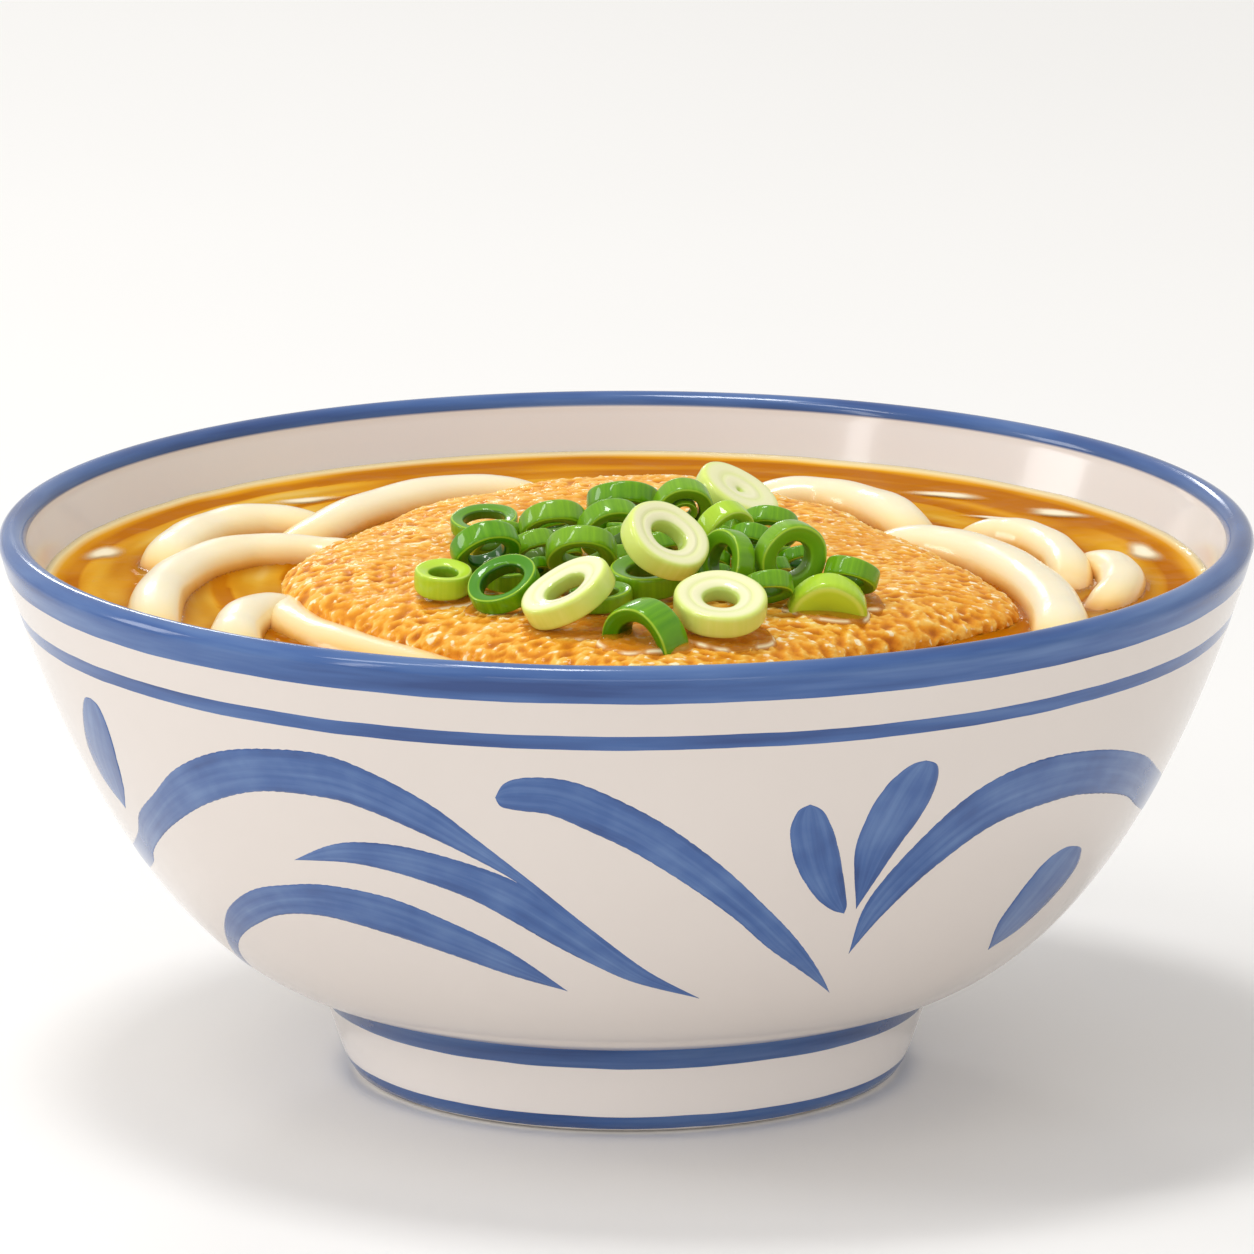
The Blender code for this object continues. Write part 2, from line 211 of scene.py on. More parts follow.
outer_wall = curve_points(OUTER_WALL, OUTER_STEPS)
inner_wall = curve_points(INNER_WALL, INNER_STEPS)
lip_middle = RIM_RADIUS - LIP_THICKNESS / 2
lip = [(lip_middle + LIP_THICKNESS / 2 * math.cos(a), LIP_START + LIP_ROUND_HEIGHT * math.sin(a))
       for a in np.linspace(0, math.pi, LIP_STEPS + 1)[1:-1]]
outside = [(0, FOOT_RECESS_HEIGHT), *FOOT_INSIDE[::-1], *FOOT_OUTSIDE[::-1], *outer_wall, *lip]
bowl_outline = [*outside, *inner_wall, (0, FLOOR_HEIGHT)]
bowl_points, bowl_faces = turned(bowl_outline, BOWL_TURNS)
painted_side = np.repeat([1.0] * (len(outside) - 1) + [0.0] * len(inner_wall), BOWL_TURNS)
painted_side = [*painted_side, 1.0, 0.0]

GLAZE_WHITE = colour(227, 218, 211)
GLAZE_SHADE = colour(219, 209, 202)
GLAZE_INSIDE_PAINTED_COOL = colour(226, 223, 221)
GLAZE_FOOT_PAINTED_LIGHT = colour(248, 240, 234)
COBALT = colour(66, 98, 155)
COBALT_THIN = colour(98, 127, 175)
COBALT_THICK = colour(48, 74, 129)
# Heights between which the cobalt bands lie. A ramp runs from 0 to 1, and its 1 stands for RAMP_TOP.
BANDS = ((0.4, 2.9), (11.4, 15.25), (74.9, 77.1), (82.5, 90.0))
RAMP_TOP = 100
PAINTED_FOOT_LIGHT_FADE = (14, 18)
BRUSH_WOBBLE = 0.25
WOBBLE_SIZE = 14
BRUSH_MARK_SIZE = 40
BRUSH_MARK_FLAT = 14
CLOUD_SIZE = 60
RIPPLE_SIZE = 30
RIPPLE_DEPTH = 0.25
GLAZE_GLOSS = {"Roughness": 0.14, "Specular_IOR_Level": 0.35, "Coat_Weight": 0.15, "Coat_Roughness": 0.04}


def cobalt(material, streaks):
    """Cobalt paint: darker where the brush left more of it."""
    return ramp(material, streaks, ((0.30, COBALT_THICK), (0.50, COBALT), (0.75, COBALT_THIN)))


glaze = new_material("bowl_glaze", **GLAZE_GLOSS)
spot = place_on(glaze)
height = add_node(glaze, "SeparateXYZ", {"Vector": spot}).outputs["Z"]
wobble = sums(glaze, "MULTIPLY_ADD", grain(glaze, spot, WOBBLE_SIZE), 2 * BRUSH_WOBBLE, -BRUSH_WOBBLE)
drawn_height = sums(glaze, "DIVIDE", sums(glaze, "ADD", height, wobble), RAMP_TOP)
band_stops = [(0.0, 0)]
for low, high in BANDS:
    band_stops += [(low / RAMP_TOP, 1), (high / RAMP_TOP, 0)]
bands = number_ramp(glaze, drawn_height, band_stops, "CONSTANT")
bands = sums(glaze, "MULTIPLY", bands, from_mesh(glaze, "painted_side"))
brushed = grain(glaze, place_on(glaze, (1, 1, BRUSH_MARK_FLAT)), BRUSH_MARK_SIZE, 3)
clouds = grain(glaze, spot, CLOUD_SIZE, 3)
white = mixed(glaze, clouds, GLAZE_WHITE, GLAZE_SHADE)
# Painted light: the foot is painted lighter, standing in for light where the bowl's overhang shades it.
fade_from, fade_to = PAINTED_FOOT_LIGHT_FADE
above_painted_foot_light = number_ramp(glaze, drawn_height, ((fade_from / RAMP_TOP, 0), (fade_to / RAMP_TOP, 1)))
white = mixed(glaze, above_painted_foot_light, GLAZE_FOOT_PAINTED_LIGHT, white)
# The inside is painted a cooler white, offsetting the warm light that the broth reflects onto it.
white = mixed(glaze, from_mesh(glaze, "painted_side"), GLAZE_INSIDE_PAINTED_COOL, white)
paint(glaze, "Base Color", mixed(glaze, bands, white, cobalt(glaze, brushed)))
relief(glaze, grain(glaze, spot, RIPPLE_SIZE, 1), RIPPLE_DEPTH)

bowl = add_piece("glazed_bowl", bowl_points, bowl_faces, glaze, {"painted_side": painted_side})
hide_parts("bowl")

# ---------------------------------------------------------------------------------------------------------
# Brush strokes. Waves and leaves in cobalt on the outer wall, drawn freehand with a loaded brush before the
# glazing: each swells from its start and runs out to a point. The same set is painted on the far side.

# Each stroke has two edges from its start to its tip: (degrees round from the diner, height) points.
STROKES = {
    "leaf_left": (
        ((-61.8, 70.6), (-63.8, 69.8), (-67, 65), (-69.8, 59), (-69.4, 54), (-66, 50.5)),
        ((-61.8, 70.6), (-60.4, 69.6), (-60, 66), (-60.9, 60.5), (-62.8, 55), (-66, 50.5)),
    ),
    "wave_left": (
        ((-88, 37), (-76, 41), (-67, 46), (-62, 51.4), (-55.6, 57), (-49.5, 63.3), (-42.9, 68.1),
         (-36.8, 70.5), (-29.8, 71.4), (-24.5, 69.2), (-19, 64.6), (-14.8, 59), (-9.5, 51.5), (-4, 43.6),
         (2.5, 35.2), (9, 29.4)),
        ((-88, 37), (-77, 36.5), (-68.5, 40), (-65, 43), (-60.4, 46.7), (-54, 51.8), (-45.6, 58.2),
         (-37.9, 62.3), (-30, 63.1), (-25.5, 61.8), (-20.5, 58.9), (-16, 55.7), (-11, 51.1), (-6.3, 44),
         (0.5, 35.6), (9, 29.4)),
    ),
    "wave_left_branch": (
        ((-36.4, 51), (-31.5, 54.8), (-27.5, 56.4), (-22.1, 56.5), (-15.9, 54.5), (-10.9, 51.5), (-6.2, 46),
         (-1.6, 39.4), (3, 33.9), (9, 29.4)),
        ((-36.4, 51), (-29.9, 52), (-25.2, 51.5), (-20.7, 49.9), (-16.2, 47.4), (-12.3, 43.9), (-8.3, 40),
         (-3.9, 36.3), (1, 32.8), (9, 29.4)),
    ),
    "wave_low": (
        ((-72, 20.5), (-64, 26.5), (-56.4, 33.9), (-51.5, 38.6), (-44.8, 43.6), (-39.1, 46), (-33.2, 47.5),
         (-25.9, 46.9), (-19.4, 43.5), (-13.1, 38.5), (-7.1, 31)),
        ((-72, 20.5), (-66, 22.5), (-59.3, 28), (-54.5, 31.6), (-48.5, 35.6), (-42, 39.4), (-35.1, 40.8),
         (-27.6, 39.3), (-20.6, 36.7), (-13.8, 33.5), (-7.1, 31)),
    ),
    "wave_middle": (
        ((-12.4, 66.3), (-11.3, 69.1), (-8.9, 70.3), (-5.2, 69.9), (-1.2, 67.2), (4, 62.1), (9.5, 54.9),
         (14.5, 47.3), (19.5, 39.7), (26.4, 28.2)),
        ((-12.4, 66.3), (-11.9, 64.6), (-10.2, 64), (-7.2, 63.4), (-3.6, 60.7), (0.7, 57), (6.5, 50.6),
         (11.6, 44.4), (16.8, 37.6), (26.4, 28.2)),
    ),
    "leaf_middle": (
        ((17.7, 64.5), (16.4, 63.3), (15.9, 59.5), (17.2, 53.4), (19.8, 47.9), (22.2, 45), (24, 44)),
        ((17.7, 64.5), (19.3, 63), (21, 58.6), (22.4, 53.2), (23.4, 48.8), (24.1, 45.6), (24, 44)),
    ),
    "leaf_tall": (
        ((29, 70.1), (27.2, 69.5), (25, 66.3), (23.5, 60.6), (23.3, 54), (25.3, 44.6)),
        ((29, 70.1), (30.5, 69), (31, 65.8), (30.3, 60.8), (28.2, 54.6), (25.3, 44.6)),
    ),
    "wave_right": (
        ((96, 46), (84, 49.5), (72.2, 55), (62.4, 61.3), (52.4, 65.6), (43, 66.8), (35.7, 63.5), (30, 55.2),
         (26.2, 45.3), (26.4, 36)),
        ((96, 46), (82, 44.5), (71, 48.6), (63, 53.4), (55, 56.6), (48.7, 57.8), (40.1, 56.2), (33.6, 50.1),
         (29.1, 42.7), (26.4, 36)),
    ),
    "leaf_right": (
        ((56.6, 47.3), (53.6, 48), (50.6, 46.3), (48.8, 41.6), (48.3, 36), (50.8, 30.5)),
        ((56.6, 47.3), (58.6, 45.9), (60.2, 42), (59, 37.6), (55.6, 33), (50.8, 30.5)),
    ),
}
STROKE_PROUD = 0.08
STROKE_EDGE = 0.02
STROKE_SUNK = 0.35
STROKE_UNDER = 0.9
ACROSS_STEPS = 12
STEPS_BETWEEN = 8
BRISTLES_ACROSS = 3.0
BRISTLES_ALONG = 0.03
EDGE_POOL = 0.10
WASH_SIZE = 9
WASH = (0.55, 0.03)


def curve_through(points, steps):
    """A smooth curve that passes through every point, with this many steps from one to the next."""
    points = np.array(points, float)
    last = len(points) - 1
    path = []
    for i in range(last):
        before, start, end, after = points[[max(i - 1, 0), i, i + 1, min(i + 2, last)]]
        for t in np.arange(steps) / steps:
            path.append(0.5 * (2 * start + (end - before) * t
                               + (2 * before - 5 * start + 4 * end - after) * t ** 2
                               + (3 * start - before - 3 * end + after) * t ** 3))
    return np.array([*path, points[-1]])


def capped_faces(rows, columns):
    """Faces over rows of points, with one more face over the first row and one over the last."""
    last = (rows - 1) * columns
    return grid_faces(rows, columns) + [tuple(range(columns))[::-1], tuple(range(last, last + columns))]


cobalt_stroke = new_material("cobalt_stroke", **GLAZE_GLOSS)
across_brush = from_mesh(cobalt_stroke, "across")
along_brush = from_mesh(cobalt_stroke, "along")
bristles = add_node(cobalt_stroke, "CombineXYZ", {
    "X": sums(cobalt_stroke, "MULTIPLY", across_brush, BRISTLES_ACROSS),
    "Y": sums(cobalt_stroke, "MULTIPLY", along_brush, BRISTLES_ALONG),
})
streaks = grain(cobalt_stroke, bristles.outputs[0], 1.0, 3)
pooled = sums(cobalt_stroke, "MULTIPLY", sums(cobalt_stroke, "ABSOLUTE", across_brush), EDGE_POOL)
wash = sums(cobalt_stroke, "ADD", grain(cobalt_stroke, place_on(cobalt_stroke), WASH_SIZE, 3), streaks)
streaks = sums(cobalt_stroke, "SUBTRACT", sums(cobalt_stroke, "MULTIPLY_ADD", wash, *WASH), pooled)
paint(cobalt_stroke, "Base Color", cobalt(cobalt_stroke, streaks))


def brush_stroke(name, edges, turn):
    """A thin closed skin of paint that follows the wall between two edges."""
    one, other = (curve_through(edge, STEPS_BETWEEN) for edge in edges)
    share = np.concatenate([np.linspace(-1, 1, ACROSS_STEPS + 1), [STROKE_UNDER, -STROKE_UNDER]])
    thickness = np.append(STROKE_PROUD * (1 - share[:-2] ** 4) - STROKE_EDGE, [-STROKE_SUNK] * 2)
    place = one[:, None] + (other - one)[:, None] * (0.5 + 0.5 * share)[None, :, None]
    angle, height = np.radians(place[..., 0] + turn), place[..., 1]
    slope = np.gradient(outer_wall[:, 0], outer_wall[:, 1])
    lean = np.interp(height, outer_wall[:, 1], slope)
    radius = np.interp(height, outer_wall[:, 1], outer_wall[:, 0])
    out = thickness / np.sqrt(1 + lean ** 2)
    radius = radius + out
    height = height - out * lean
    points = np.stack([radius * np.sin(angle), -radius * np.cos(angle), height], -1)
    rows, columns = points.shape[:2]
    faces = capped_faces(rows, columns)
    travelled = np.cumsum(np.append(0, np.linalg.norm(np.diff(points[:, 0], axis=0), axis=1)))
    numbers = {"across": np.tile(share, rows), "along": np.repeat(travelled, columns)}
    return add_piece(name, points.reshape(-1, 3), faces, cobalt_stroke, numbers)


for stroke, edges in STROKES.items():
    brush_stroke("stroke_" + stroke, edges, 0)
    brush_stroke("stroke_far_" + stroke, edges, 180)

# ---------------------------------------------------------------------------------------------------------
# Noodles. Udon: thick strands of wheat dough, rolled, cut and boiled until smooth, plump and faintly
# see-through. Ten of them come up through the broth and the rest lie sunk in it, coiled as they were served.

THICK, PLAIN, THIN = 4.6, 4.3, 3.8
# Each strand that shows: its half thickness, and the middle of its route from end to end.
NOODLES = {
    "left_low": (PLAIN, ((-70, -5, 66), (-73.5, 4, 73), (-73.3, 12.5, 78), (-70.5, 22, 79),
                         (-66.5, 30, 79), (-61, 34.8, 79), (-55, 36.2, 78.4), (-49, 35.6, 76.6),
                         (-43.5, 34.4, 72.6), (-39, 33, 68))),
    "left_high": (PLAIN, ((-69, -48, 67), (-73.2, -35, 76), (-74, -21, 78.8), (-72.4, -7.5, 79),
                          (-68.5, 4.2, 79), (-62.5, 12, 79), (-56, 14.8, 78.8), (-49.5, 15.2, 78.3),
                          (-43, 13.4, 77), (-36, 10, 70))),
    "back_left": (PLAIN, ((-58, 15.5, 70), (-55.5, 20.5, 74.8), (-51.6, 27.8, 77.2), (-46, 37.6, 78.7),
                          (-39.6, 46.8, 79), (-31.2, 54.8, 79), (-22.3, 58.6, 78.5), (-14.5, 58.4, 76.5),
                          (-7, 55, 69))),
    "front_left": (PLAIN, ((-45, -14, 68), (-50.5, -17.5, 74), (-55.2, -22, 77.6), (-58.8, -29, 78.8),
                           (-60.6, -37.5, 78.8), (-60.4, -46.5, 77), (-56, -56, 68))),
    "tofu_left": (PLAIN, ((-42.5, -9, 70), (-48, -13.6, 74.2), (-52.2, -20, 77), (-53, -28, 77.7),
                          (-49.4, -37.2, 77.6), (-43, -46.6, 77.4), (-35, -55, 77.1), (-26, -63, 76.4),
                          (-17, -69.5, 74), (-9, -74, 67))),
    "back": (THIN, ((-4, 60, 69), (0, 63, 75.5), (5, 65, 77.6), (10, 64.4, 76.5), (15, 61, 69))),
    "back_right": (PLAIN, ((14, 50, 69), (20.5, 54, 76.5), (27, 55.6, 78.8), (33.5, 53.8, 79), (39, 48.2, 79),
                           (43.6, 39.4, 78.8), (47, 29.6, 76.3), (49, 21, 70))),
    "right_wide": (THICK, ((35, 21.5, 70), (41, 21.4, 76.5), (47, 19.8, 78.8), (52, 16, 79), (57.4, 9, 79),
                           (62, -1, 79), (65.5, -13, 79), (67.5, -27, 78.8), (67.3, -40, 77), (62, -52, 67))),
    "right_arc": (THIN, ((53, 36, 68), (54.8, 31.8, 75), (58.2, 29.4, 78.3), (62.2, 27, 79),
                         (66, 22.4, 79), (68.7, 15.4, 79), (70.2, 7.4, 78.7), (70.6, -0.5, 77.5),
                         (69.6, -8.5, 74.4), (67, -16, 69))),
    "right_edge": (THIN, ((71, 17, 70), (74, 12.6, 76.4), (77, 6, 78.6), (78.5, -1.5, 78.8),
                          (78.1, -9, 78.6), (76, -16, 77.6), (72.4, -22, 73.8), (68, -27, 67))),
}
NOODLE_SIDES = 28
NOODLE_STEPS = 14
NOODLE_SQUARENESS = 2.4
TAPER_STEPS = 5
# How much a strand swells and thins along its length, and the radians of that in each step.
SLOW_SWELL, QUICK_SWELL = (0.02, 0.13), (0.015, 0.31)
DOUGH_SIZE = 9
SKIN_SIZE, SKIN_DEPTH = 2.2, 0.06
BROTH_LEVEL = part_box("broth")[1].z / MM
PALE_ABOVE = 3.6
DARK_BELOW = 12
SUNKEN_LEVELS = (72.0, 65.5)
SUNKEN_SPACING = 11.5
SUNKEN_STEPS = 110
SUNKEN_SWEEP = (4.6, 5.8)
SIDE_SWAY = 0.8
RISE_AND_FALL = 1.4
END_DIVE = 6
END_SHARE = 0.06
CORE_TOP = 60.0
CORE_GAP = 2.5
CORE_TURNS = 96

noodle_skin = new_material(
    "udon_noodle", Roughness=0.28, Coat_Weight=0.38, Coat_Roughness=0.07, Subsurface_Weight=0.12,
    Subsurface_Radius=(3 * MM, 2 * MM, 1 * MM), Subsurface_Scale=1.0,
)
doughy = grain(noodle_skin, place_on(noodle_skin), DOUGH_SIZE, 3)
doughy = number_ramp(noodle_skin, doughy, ((0.45, 0), (0.75, 0.5)))
# Tan low down and pale on top: partly broth soaked into the dough, partly painted shade on the sides and a
# painted amber reflection at the waterline.
steeped_and_shaded = ramp(noodle_skin, from_mesh(noodle_skin, "height"), (
    (0.0, colour(204, 130, 38)), (0.2, colour(234, 180, 88)), (0.42, colour(247, 210, 134)),
    (0.7, colour(251, 228, 170)), (1.0, colour(252, 238, 200)),
))
paint(noodle_skin, "Base Color", mixed(noodle_skin, doughy, steeped_and_shaded, colour(252, 230, 180)))
relief(noodle_skin, grain(noodle_skin, place_on(noodle_skin), SKIN_SIZE, 3), SKIN_DEPTH)


def noodle(name, radius, path):
    """One strand: a plump, slightly squared round section carried along its path, tapering at both ends."""
    path = np.array(path, float)
    count = len(path)
    along = np.gradient(path, axis=0)
    along /= np.linalg.norm(along, axis=1)[:, None]
    side = np.cross(along, (0, 0, 1.0))
    side /= np.linalg.norm(side, axis=1)[:, None]
    over = np.cross(side, along)
    angle = np.arange(NOODLE_SIDES) * 2 * math.pi / NOODLE_SIDES
    step = np.arange(count)
    plump = 1 + SLOW_SWELL[0] * np.sin(step * SLOW_SWELL[1] + radius * 7)
    plump = plump + QUICK_SWELL[0] * np.sin(step * QUICK_SWELL[1])
    distance = np.minimum(step, step[::-1]) / TAPER_STEPS
    width = radius * plump * np.sqrt(np.clip(1 - (1 - np.clip(distance, 0.15, 1)) ** 2, 0, 1))
    power = NOODLE_SQUARENESS
    squared = 1 / (np.abs(np.cos(angle)) ** power + np.abs(np.sin(angle)) ** power) ** (1 / power)
    section = side[:, None] * (np.cos(angle) * squared)[None, :, None]
    section = section + over[:, None] * (np.sin(angle) * squared)[None, :, None]
    points = path[:, None] + section * width[:, None, None]
    faces = capped_faces(count, NOODLE_SIDES)
    # Colour height: darkest at the waterline, paler up to the top and down into the broth; soaking plus
    # painted shade and a painted reflection.
    above = points[..., 2] - BROTH_LEVEL
    steeped_and_shaded = np.clip(-above / DARK_BELOW, 0, 0.45)
    height = np.where(above > 0, np.clip(above / PALE_ABOVE, 0, 1), steeped_and_shaded).ravel()
    return add_piece(name, points.reshape(-1, 3), faces, noodle_skin, {"height": height})


top_noodles = [noodle("noodle_" + name, radius, curve_through(route, NOODLE_STEPS))
               for name, (radius, route) in NOODLES.items()]


def inner_radius(height):
    """Radius of the inside of the bowl at a height."""
    return float(np.interp(height, inner_wall[::-1, 1], inner_wall[::-1, 0]))


chance = random.Random(7)
sunken_noodles = []
for level in SUNKEN_LEVELS:
    reach = inner_radius(level - PLAIN) - PLAIN - 1.0
    for ring in range(int(reach / SUNKEN_SPACING)):
        middle_radius = reach - ring * SUNKEN_SPACING
        start = chance.uniform(0, 2 * math.pi)
        sweep = chance.uniform(*SUNKEN_SWEEP)
        waves = chance.uniform(0, 2 * math.pi)
        route = []
        for t in np.linspace(0, 1, SUNKEN_STEPS):
            angle = start + sweep * t
            dive = END_DIVE * max(0.0, 1 - min(t, 1 - t) / END_SHARE) ** 2
            r = middle_radius - SIDE_SWAY + SIDE_SWAY * math.sin(3 * angle + waves)
            z = level + RISE_AND_FALL * math.sin(2 * angle + waves) - dive
            route.append((r * math.cos(angle), r * math.sin(angle), z))
        sunken_noodles.append(noodle(f"noodle_sunk_{round(level)}_{ring + 1}", PLAIN, route))

# Deeper than the strands that show through, the heap of noodles is one solid core.
core_heights = np.linspace(CORE_TOP, FLOOR_HEIGHT + 4, 24)
core_side = [(inner_radius(z) - CORE_GAP, z) for z in core_heights]
core_outline = [(0, FLOOR_HEIGHT + 3), *core_side[::-1], (0, CORE_TOP)]
core_points, core_faces = turned(core_outline, CORE_TURNS)
core = add_piece("noodle_core", core_points, core_faces, noodle_skin,
                 {"height": np.full(len(core_points), 0.2)})
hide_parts("noodles")

# ---------------------------------------------------------------------------------------------------------
# Fried tofu. A thin sheet of tofu fried twice, so that its skin is gold, puffed and wrinkled all over, then
# simmered in sweet stock. It lies on the noodles, wet. Its pits are painted darker as painted shade, its
# ridge tops are painted pale as a painted highlight, and painted glints dot its ridges.

TOFU_GRAIN = 0.55
SWELL_SIZE, SWELL_PUSH = 12, 0.8
WRINKLE_SIZE, WRINKLE_PUSH = 2.3, 0.14
WRINKLE_STRETCH = 1.2
BLISTER_SIZE, BLISTER_PUSH = 1.5, 0.2
PIT_MIDDLE, PIT_WRINKLE, PIT_BLISTER = 0.44, 0.17, 0.2
TOFU_SPREAD = 1.01
TOFU_SHIFT = -0.6
TOFU_TILT = 0.011
PATCH_SIZE = 16
GLINT_SIZE = 1.6
PORE_SIZE, PORE_DEPTH = 0.9, 0.22


def points_of(mesh):
    """The mesh's points in millimetres."""
    flat = np.zeros(len(mesh.vertices) * 3, np.float32)
    mesh.vertices.foreach_get("co", flat)
    return flat.reshape(-1, 3).astype(float) / MM


tofu_sheet = bpy.data.objects.new("fried_tofu_sheet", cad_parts["fried_tofu"].data.copy())
bpy.context.scene.collection.objects.link(tofu_sheet)
weld = tofu_sheet.modifiers.new("Weld", "WELD")
weld.merge_threshold = 0.01 * MM
rounding = tofu_sheet.modifiers.new("Rounding", "SUBSURF")
rounding.levels = rounding.render_levels = 2
remesh = tofu_sheet.modifiers.new("Remesh", "REMESH")
remesh.mode = "VOXEL"
remesh.voxel_size = TOFU_GRAIN * MM
even = tofu_sheet.modifiers.new("Even", "SMOOTH")
even.factor = 0.5
even.iterations = 4
shaped = bpy.data.meshes.new_from_object(tofu_sheet.evaluated_get(bpy.context.evaluated_depsgraph_get()))
tofu_sheet.modifiers.clear()
tofu_sheet.data = shaped

tofu_points = points_of(shaped)
normals = np.zeros(len(tofu_points) * 3, np.float32)
shaped.vertices.foreach_get("normal", normals)
normals = normals.reshape(-1, 3).astype(float)
swell = np.array([noise.noise(Vector(p) / SWELL_SIZE) for p in tofu_points])
wrinkle = np.array([
    noise.ridged_multi_fractal(Vector((x, y * WRINKLE_STRETCH, z)) / WRINKLE_SIZE, 0.8, 2.1, 3, 0.9, 1.6)
    for x, y, z in tofu_points])
wrinkle = (wrinkle - wrinkle.mean()) / wrinkle.std()
blister = np.array([noise.noise(Vector(p) / BLISTER_SIZE) for p in tofu_points])
push = SWELL_PUSH * swell + WRINKLE_PUSH * wrinkle + BLISTER_PUSH * blister
push -= np.percentile(push, 50)
tofu_points = tofu_points + normals * push[:, None]
tofu_middle = tofu_points[:, :2].mean(0)
tofu_points[:, :2] = tofu_middle + (tofu_points[:, :2] - tofu_middle) * TOFU_SPREAD
tofu_points[:, 0] += TOFU_SHIFT
tofu_points[:, 2] -= tofu_points[:, 0] * TOFU_TILT
shaped.vertices.foreach_set("co", (tofu_points * MM).astype(np.float32).ravel())
pit = np.clip(PIT_MIDDLE - PIT_WRINKLE * wrinkle - PIT_BLISTER * blister, 0, 1)
shaped.attributes.new("pit", "FLOAT", "POINT").data.foreach_set("value", pit.astype(np.float32))
shaped.shade_smooth()

tofu_skin = new_material("fried_tofu", Roughness=0.55, Specular_IOR_Level=0.12,
                         Coat_Weight=0.2, Coat_Roughness=0.04, Coat_IOR=1.4)
pits = from_mesh(tofu_skin, "pit")
# Painted shade in the pits and a painted highlight on the ridge tops.
browning_and_painted_light = ramp(tofu_skin, pits, (
    (0.06, colour(255, 238, 176)), (0.2, colour(252, 204, 98)), (0.44, colour(240, 166, 44)),
    (0.64, colour(218, 134, 20)), (0.86, colour(176, 92, 4)),
))
patches = grain(tofu_skin, place_on(tofu_skin), PATCH_SIZE, 3)
patches = number_ramp(tofu_skin, patches, ((0.4, 0), (0.75, 0.5)))
browning_and_painted_light = mixed(tofu_skin, patches, browning_and_painted_light, colour(230, 152, 40))
# Painted glints: small cream highlights painted on the ridges.
glints = grain(tofu_skin, place_on(tofu_skin, (1, 1.5, 1)), GLINT_SIZE, 1)
glints = number_ramp(tofu_skin, glints, ((0.6, 0), (0.67, 0.9)))
glints = sums(tofu_skin, "MULTIPLY", glints, number_ramp(tofu_skin, pits, ((0.3, 1), (0.5, 0))))
paint(tofu_skin, "Base Color", mixed(tofu_skin, glints, browning_and_painted_light, colour(255, 244, 206)))
relief(tofu_skin, grain(tofu_skin, place_on(tofu_skin), PORE_SIZE, 3), PORE_DEPTH)
shaped.materials.clear()
shaped.materials.append(tofu_skin)
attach(tofu_sheet, "root")
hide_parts("fried_tofu")

# ---------------------------------------------------------------------------------------------------------
# Broth. Clear stock of dried fish and soy sauce. It fills the bowl to its level, creeps up a little on the
# wall and on everything that stands in it, and colours what lies deeper.

BROTH_FLOOR = CORE_TOP - 4
SURFACE_DROP = 0.35
MIDDLE_DROP = 0.3
EDGE_INTO_WALL = 0.5
SIDE_INTO_WALL = 0.3
# How high the broth creeps, and over what distance that dies away.
CREEP_WALL = (0.8, 1.0)
CREEP_FOOD = (0.7, 0.8)
RIPPLE = (0.12, 9)
SHORE_HIGHLIGHT_WIDTH = 0.9
CONTACT_SHADE_WIDTH = 3.0
STREAKS_ROUND = 3
STREAK_SPACING = 4.5
STREAK_SHARE = 0.42
CONTACT_SHADE_SHARE = 0.8
WAVE_SIZE, WAVE_DEPTH = 8, 0.5
EDGE_HEIGHT = 0.3
BROTH_TURNS = 480
BROTH_RINGS = 130
SIDE_ROWS = 16
CLEAR_DEPTH = 10.0
RAY_LIFT = 0.4
DOWN = Vector((0, 0, -1))


def tree_of(pieces):
    """One search tree over several pieces, in millimetres."""
    points, faces = [], []
    for piece in pieces:
        first = len(points)
        points += [v.co / MM for v in piece.data.vertices]
        faces += [[first + i for i in polygon.vertices] for polygon in piece.data.polygons]
    return BVHTree.FromPolygons(points, faces)


standing = tree_of([*top_noodles, tofu_sheet])
below = tree_of([*top_noodles, tofu_sheet, *sunken_noodles])
wall_at_level = inner_radius(BROTH_LEVEL)
wall_slope = (wall_at_level - inner_radius(BROTH_LEVEL - 4)) / 4
surface_radii = (wall_at_level + EDGE_INTO_WALL) * np.linspace(0, 1, BROTH_RINGS + 1)[1:] ** 0.8
surface_angles = np.arange(BROTH_TURNS) * 2 * math.pi / BROTH_TURNS
surface, depths, shore_highlights, contact_shades, swirls = [], [], [], [], []
for r in surface_radii:
    from_wall = max(0.0, wall_at_level - r)
    creep_wall = CREEP_WALL[0] * math.exp(-from_wall / CREEP_WALL[1])
    for a in surface_angles:
        x, y = r * math.sin(a), -r * math.cos(a)
        gap = standing.find_nearest(Vector((x, y, BROTH_LEVEL)))[3]
        creep_food = CREEP_FOOD[0] * math.exp(-gap / CREEP_FOOD[1])
        ripple = RIPPLE[0] * noise.noise(Vector((x, y, 0)) / RIPPLE[1])
        height = BROTH_LEVEL - SURFACE_DROP + creep_wall + creep_food + ripple
        under = below.ray_cast(Vector((x, y, height + RAY_LIFT)), DOWN)[3]
        depth = CLEAR_DEPTH if under is None else under - RAY_LIFT
        surface.append((x, y, height))
        shore_highlights.append(math.exp(-from_wall / SHORE_HIGHLIGHT_WIDTH))
        contact_shades.append(math.exp(-gap / CONTACT_SHADE_WIDTH))
        streak = Vector((STREAKS_ROUND * math.sin(a), STREAKS_ROUND * math.cos(a), r / STREAK_SPACING))
        swirls.append(noise.fractal(streak, 0.8, 2.1, 2))
        depths.append(max(0.0, min(depth, from_wall / wall_slope, CLEAR_DEPTH)) / CLEAR_DEPTH)
side_heights = np.linspace(BROTH_LEVEL - 1, BROTH_FLOOR, SIDE_ROWS)
side_rows = [(inner_radius(z) + SIDE_INTO_WALL, z) for z in side_heights]
